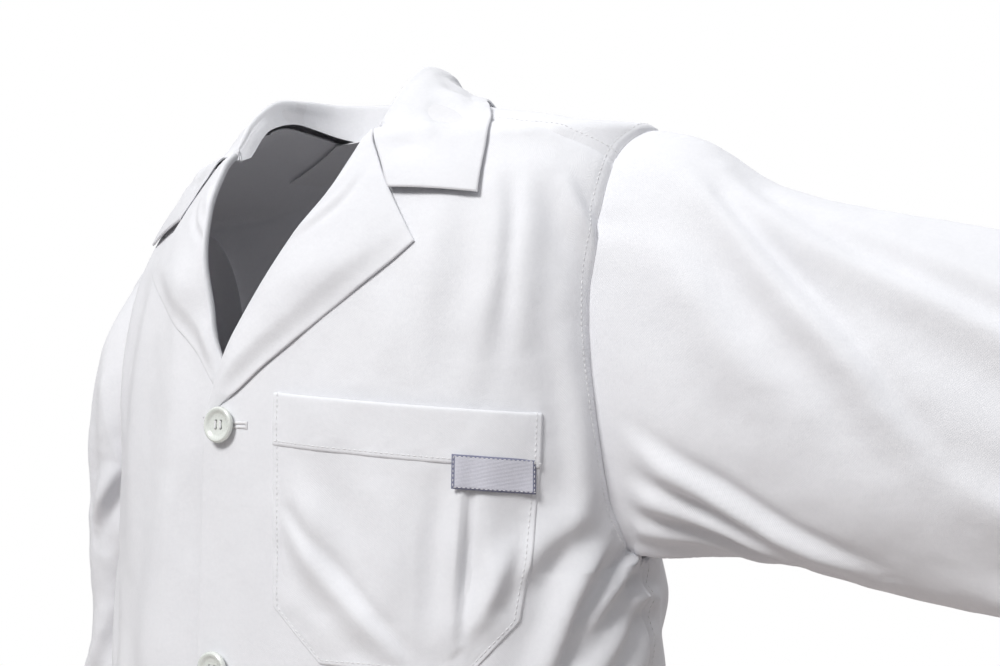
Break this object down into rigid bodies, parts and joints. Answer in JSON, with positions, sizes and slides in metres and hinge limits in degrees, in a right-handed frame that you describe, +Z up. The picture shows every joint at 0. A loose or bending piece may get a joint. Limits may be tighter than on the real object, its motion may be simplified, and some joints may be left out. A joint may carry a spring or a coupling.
{
  "type": "laboratory coat",
  "caption": "Knee-length buttoned laboratory coat with notched collar, patch pockets and set-in sleeves, one held out and one hanging.",
  "frame": {"origin": "between the wearer's shoulders, level with the sides of the neck, where the coat rests on the wearer", "axes": "+Z up, the front of the coat faces -Y, the wearer's left is +X"},
  "size_m": [1.1213, 0.3358, 1.0177],
  "materials": {
    "cloth": "matte polyester-cotton twill, near white",
    "button": "semi-gloss moulded resin, pale grey-green white",
    "thread": "twisted polyester sewing thread",
    "label": "woven polyester, plain"
  },
  "bodies": {
    "coat_body": {"left_front": "cloth", "right_front": "cloth", "left_front_facing": "cloth", "right_front_facing": "cloth", "left_back": "cloth", "right_back": "cloth", "back_neck_facing": "cloth", "left_lapel": "cloth", "right_lapel": "cloth", "upper_collar": "cloth", "under_collar": "cloth", "collar_stand": "cloth", "hanger_loop": "cloth", "chest_pocket": "cloth", "chest_pocket_hem": "cloth", "left_hip_pocket": "cloth", "left_hip_pocket_hem": "cloth", "right_hip_pocket": "cloth", "right_hip_pocket_hem": "cloth", "woven_label": "label", "left_sleeve_head": "cloth", "right_sleeve_head": "cloth"},
    "left_upper_arm": {"left_upper_sleeve": "cloth", "left_elbow": "cloth"},
    "left_forearm": {"left_lower_sleeve": "cloth", "left_cuff_hem": "cloth"},
    "right_upper_arm": {"right_upper_sleeve": "cloth", "right_elbow": "cloth"},
    "right_forearm": {"right_lower_sleeve": "cloth", "right_cuff_hem": "cloth"},
    "button_1_turning": {"button_1": "button", "button_thread_1": "thread"},
    "button_2_turning": {"button_2": "button", "button_thread_2": "thread"},
    "button_3_turning": {"button_3": "button", "button_thread_3": "thread"},
    "button_4_turning": {"button_4": "button", "button_thread_4": "thread"},
    "button_5_turning": {"button_5": "button", "button_thread_5": "thread"}
  },
  "joints": [
    {"name": "left_shoulder", "type": "hinge", "parent": "coat_body", "child": "left_upper_arm", "pos_m": [0.206, 0, -0.12], "axis": [0, 1, 0], "range_deg": [-10, 35], "deforming": ["left_sleeve_head"]},
    {"name": "left_elbow_bend", "type": "hinge", "parent": "left_upper_arm", "child": "left_forearm", "pos_m": [0.54, 0, -0.2336], "axis": [-0.2079, 0, -0.9781], "range_deg": [0, 75], "deforming": ["left_elbow"]},
    {"name": "right_shoulder", "type": "hinge", "parent": "coat_body", "child": "right_upper_arm", "pos_m": [-0.2, 0, -0.15], "axis": [0, 1, 0], "range_deg": [0, 40], "deforming": ["right_sleeve_head"]},
    {"name": "right_elbow_bend", "type": "hinge", "parent": "right_upper_arm", "child": "right_forearm", "pos_m": [-0.258, 0.095, -0.411], "axis": [-1, 0, 0], "range_deg": [0, 75], "deforming": ["right_elbow"]},
    {"name": "button_1_turn", "type": "hinge", "parent": "coat_body", "child": "button_1_turning", "pos_m": [-0.004, -0.11173, -0.206], "axis": [0, -0.9978, 0.0665], "range_deg": [-40, 40]},
    {"name": "button_2_turn", "type": "hinge", "parent": "coat_body", "child": "button_2_turning", "pos_m": [-0.004, -0.11555, -0.348], "axis": [0, -0.9996, 0.0294], "range_deg": [-40, 40]},
    {"name": "button_3_turn", "type": "hinge", "parent": "coat_body", "child": "button_3_turning", "pos_m": [-0.004, -0.12326, -0.49], "axis": [0, -0.9968, 0.0797], "range_deg": [-40, 40]},
    {"name": "button_4_turn", "type": "hinge", "parent": "coat_body", "child": "button_4_turning", "pos_m": [-0.004, -0.13452, -0.632], "axis": [0, -0.9975, 0.071], "range_deg": [-40, 40]},
    {"name": "button_5_turn", "type": "hinge", "parent": "coat_body", "child": "button_5_turning", "pos_m": [-0.004, -0.14463, -0.774], "axis": [0, -0.9975, 0.071], "range_deg": [-40, 40]}
  ]
}
